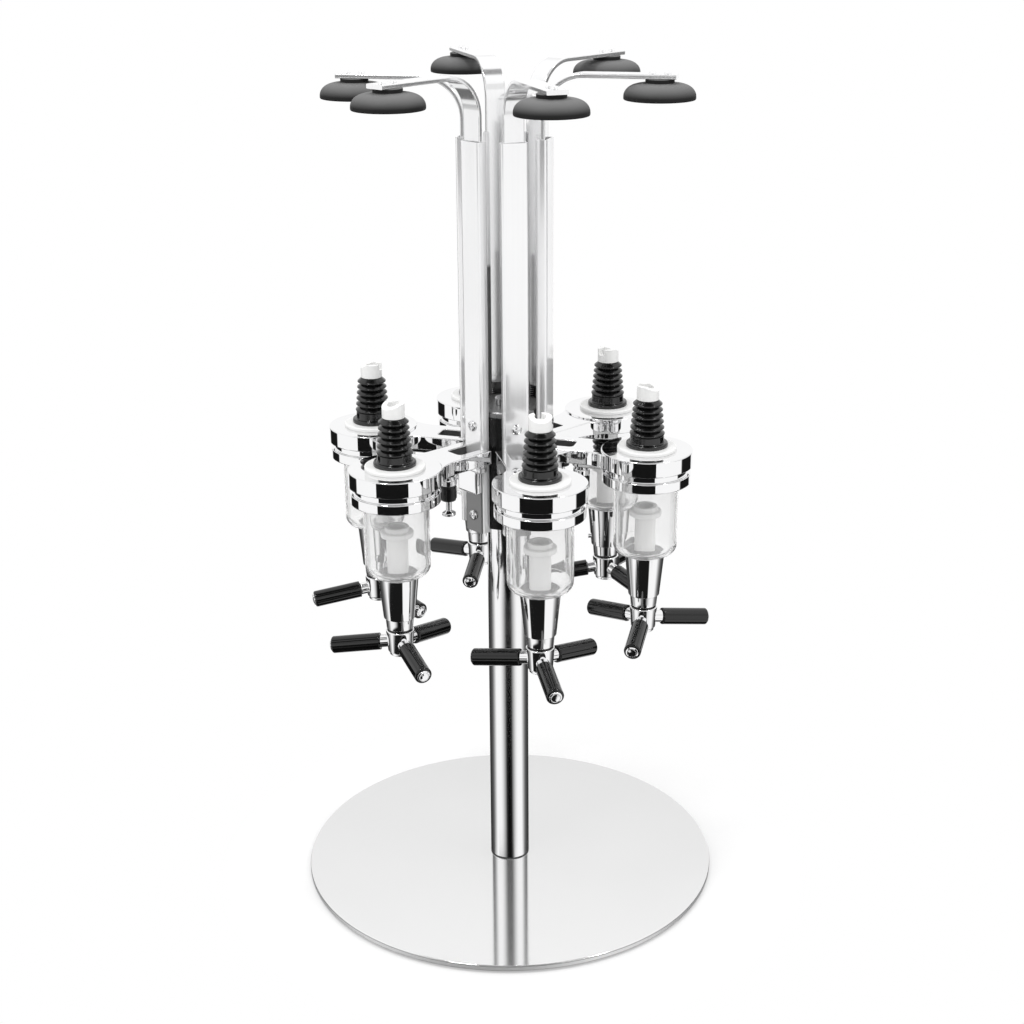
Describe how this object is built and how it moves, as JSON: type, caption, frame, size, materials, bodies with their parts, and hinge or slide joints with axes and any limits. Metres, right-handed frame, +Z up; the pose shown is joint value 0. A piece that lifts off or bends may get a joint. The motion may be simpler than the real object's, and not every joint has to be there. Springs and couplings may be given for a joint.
{
  "type": "rotary liquor dispenser",
  "caption": "Free-standing turntable that holds upturned bottles in spring arms over clear spirit measures, each with a push-up valve worked by drooping levers.",
  "frame": {"origin": "centre of the stand's underside, on the surface it stands on", "axes": "+Z up along the post and turntable axis, first measure towards -Y"},
  "size_m": [0.307, 0.307, 0.6005],
  "materials": {
    "polished_plate": "polished steel, satin mirror",
    "foot_rubber": "matte",
    "chrome_tube": "mirror chrome",
    "inner_steel": "plain zinc-plated",
    "bearing_plastic": "smooth",
    "hub_metal": "turned",
    "rail_aluminium": "bright anodised",
    "arm_metal": "bright polished",
    "screw_chrome": "bright",
    "cast_chrome": "mirror chrome",
    "white_plastic": "smooth white",
    "cork_rubber": "glossy black",
    "clear_plastic": "clear",
    "spring_steel": "bright",
    "black_plastic": "smooth black",
    "pad_rubber": "matte",
    "grip_plastic": "satin black"
  },
  "bodies": {
    "stand": {"base_plate": "polished_plate", "foot_pad": "foot_rubber", "post": "chrome_tube", "foot_plug": "inner_steel", "base_bolt": "inner_steel", "top_plug": "inner_steel", "thrust_washer": "bearing_plastic", "pivot_screw": "inner_steel"},
    "carousel": {"hub": "hub_metal", "hub_bushes": "bearing_plastic", "hub_cap": "hub_metal", "rails": "rail_aluminium", "mounting_screws": "screw_chrome", "bracket_arms": "cast_chrome", "clamp_rings": "cast_chrome", "seal_washers": "white_plastic", "bottle_corks": "cork_rubber", "inlet_tubes": "white_plastic", "measure_chambers": "clear_plastic", "valve_tubes": "white_plastic", "spouts": "cast_chrome", "valve_springs": "spring_steel", "arm_springs": "spring_steel", "pin_bodies": "black_plastic"},
    "bottle_holder_1": {"bottle_arm_1": "arm_metal", "bottle_pad_1": "pad_rubber"},
    "bottle_holder_2": {"bottle_arm_2": "arm_metal", "bottle_pad_2": "pad_rubber"},
    "bottle_holder_3": {"bottle_arm_3": "arm_metal", "bottle_pad_3": "pad_rubber"},
    "bottle_holder_4": {"bottle_arm_4": "arm_metal", "bottle_pad_4": "pad_rubber"},
    "bottle_holder_5": {"bottle_arm_5": "arm_metal", "bottle_pad_5": "pad_rubber"},
    "bottle_holder_6": {"bottle_arm_6": "arm_metal", "bottle_pad_6": "pad_rubber"},
    "valve_1": {"valve_stem_1": "cast_chrome"},
    "valve_2": {"valve_stem_2": "cast_chrome"},
    "valve_3": {"valve_stem_3": "cast_chrome"},
    "valve_4": {"valve_stem_4": "cast_chrome"},
    "valve_5": {"valve_stem_5": "cast_chrome"},
    "valve_6": {"valve_stem_6": "cast_chrome"},
    "lever_1": {"lever_hub_1": "cast_chrome", "lever_grips_1": "grip_plastic"},
    "lever_2": {"lever_hub_2": "cast_chrome", "lever_grips_2": "grip_plastic"},
    "lever_3": {"lever_hub_3": "cast_chrome", "lever_grips_3": "grip_plastic"},
    "lever_4": {"lever_hub_4": "cast_chrome", "lever_grips_4": "grip_plastic"},
    "lever_5": {"lever_hub_5": "cast_chrome", "lever_grips_5": "grip_plastic"},
    "lever_6": {"lever_hub_6": "cast_chrome", "lever_grips_6": "grip_plastic"},
    "pin_1": {"release_pin_1": "screw_chrome"},
    "pin_2": {"release_pin_2": "screw_chrome"},
    "pin_3": {"release_pin_3": "screw_chrome"},
    "pin_4": {"release_pin_4": "screw_chrome"},
    "pin_5": {"release_pin_5": "screw_chrome"},
    "pin_6": {"release_pin_6": "screw_chrome"}
  },
  "joints": [
    {"name": "carousel_turn", "type": "hinge", "parent": "stand", "child": "carousel", "pos_m": [0, 0, 0.3], "axis": [0, 0, 1], "continuous": true},
    {"name": "bottle_arm_slide_1", "type": "slide", "parent": "carousel", "child": "bottle_holder_1", "axis": [0, 0, 1], "range_m": [0, 0.12], "stiffness_N_per_m": 60, "springref_m": -0.05, "deforming": ["arm_springs"]},
    {"name": "bottle_arm_slide_2", "type": "slide", "parent": "carousel", "child": "bottle_holder_2", "axis": [0, 0, 1], "range_m": [0, 0.12], "stiffness_N_per_m": 60, "springref_m": -0.05, "deforming": ["arm_springs"]},
    {"name": "bottle_arm_slide_3", "type": "slide", "parent": "carousel", "child": "bottle_holder_3", "axis": [0, 0, 1], "range_m": [0, 0.12], "stiffness_N_per_m": 60, "springref_m": -0.05, "deforming": ["arm_springs"]},
    {"name": "bottle_arm_slide_4", "type": "slide", "parent": "carousel", "child": "bottle_holder_4", "axis": [0, 0, 1], "range_m": [0, 0.12], "stiffness_N_per_m": 60, "springref_m": -0.05, "deforming": ["arm_springs"]},
    {"name": "bottle_arm_slide_5", "type": "slide", "parent": "carousel", "child": "bottle_holder_5", "axis": [0, 0, 1], "range_m": [0, 0.12], "stiffness_N_per_m": 60, "springref_m": -0.05, "deforming": ["arm_springs"]},
    {"name": "bottle_arm_slide_6", "type": "slide", "parent": "carousel", "child": "bottle_holder_6", "axis": [0, 0, 1], "range_m": [0, 0.12], "stiffness_N_per_m": 60, "springref_m": -0.05, "deforming": ["arm_springs"]},
    {"name": "valve_lift_1", "type": "slide", "parent": "carousel", "child": "valve_1", "axis": [0, 0, 1], "range_m": [0, 0.006], "stiffness_N_per_m": 400, "springref_m": -0.01, "deforming": ["valve_springs"]},
    {"name": "valve_lift_2", "type": "slide", "parent": "carousel", "child": "valve_2", "axis": [0, 0, 1], "range_m": [0, 0.006], "stiffness_N_per_m": 400, "springref_m": -0.01, "deforming": ["valve_springs"]},
    {"name": "valve_lift_3", "type": "slide", "parent": "carousel", "child": "valve_3", "axis": [0, 0, 1], "range_m": [0, 0.006], "stiffness_N_per_m": 400, "springref_m": -0.01, "deforming": ["valve_springs"]},
    {"name": "valve_lift_4", "type": "slide", "parent": "carousel", "child": "valve_4", "axis": [0, 0, 1], "range_m": [0, 0.006], "stiffness_N_per_m": 400, "springref_m": -0.01, "deforming": ["valve_springs"]},
    {"name": "valve_lift_5", "type": "slide", "parent": "carousel", "child": "valve_5", "axis": [0, 0, 1], "range_m": [0, 0.006], "stiffness_N_per_m": 400, "springref_m": -0.01, "deforming": ["valve_springs"]},
    {"name": "valve_lift_6", "type": "slide", "parent": "carousel", "child": "valve_6", "axis": [0, 0, 1], "range_m": [0, 0.006], "stiffness_N_per_m": 400, "springref_m": -0.01, "deforming": ["valve_springs"]},
    {"name": "lever_turn_1", "type": "hinge", "parent": "valve_1", "child": "lever_1", "pos_m": [0, -0.1015, 0.2156], "axis": [0, 0, 1], "continuous": true},
    {"name": "lever_turn_2", "type": "hinge", "parent": "valve_2", "child": "lever_2", "pos_m": [0.0879, -0.05075, 0.2156], "axis": [0, 0, 1], "continuous": true},
    {"name": "lever_turn_3", "type": "hinge", "parent": "valve_3", "child": "lever_3", "pos_m": [0.0879, 0.05075, 0.2156], "axis": [0, 0, 1], "continuous": true},
    {"name": "lever_turn_4", "type": "hinge", "parent": "valve_4", "child": "lever_4", "pos_m": [0, 0.1015, 0.2156], "axis": [0, 0, 1], "continuous": true},
    {"name": "lever_turn_5", "type": "hinge", "parent": "valve_5", "child": "lever_5", "pos_m": [-0.0879, 0.05075, 0.2156], "axis": [0, 0, 1], "continuous": true},
    {"name": "lever_turn_6", "type": "hinge", "parent": "valve_6", "child": "lever_6", "pos_m": [-0.0879, -0.05075, 0.2156], "axis": [0, 0, 1], "continuous": true},
    {"name": "pin_pull_1", "type": "slide", "parent": "carousel", "child": "pin_1", "axis": [0, 0, -1], "range_m": [0, 0.005], "stiffness_N_per_m": 300, "springref_m": -0.01},
    {"name": "pin_pull_2", "type": "slide", "parent": "carousel", "child": "pin_2", "axis": [0, 0, -1], "range_m": [0, 0.005], "stiffness_N_per_m": 300, "springref_m": -0.01},
    {"name": "pin_pull_3", "type": "slide", "parent": "carousel", "child": "pin_3", "axis": [0, 0, -1], "range_m": [0, 0.005], "stiffness_N_per_m": 300, "springref_m": -0.01},
    {"name": "pin_pull_4", "type": "slide", "parent": "carousel", "child": "pin_4", "axis": [0, 0, -1], "range_m": [0, 0.005], "stiffness_N_per_m": 300, "springref_m": -0.01},
    {"name": "pin_pull_5", "type": "slide", "parent": "carousel", "child": "pin_5", "axis": [0, 0, -1], "range_m": [0, 0.005], "stiffness_N_per_m": 300, "springref_m": -0.01},
    {"name": "pin_pull_6", "type": "slide", "parent": "carousel", "child": "pin_6", "axis": [0, 0, -1], "range_m": [0, 0.005], "stiffness_N_per_m": 300, "springref_m": -0.01}
  ]
}
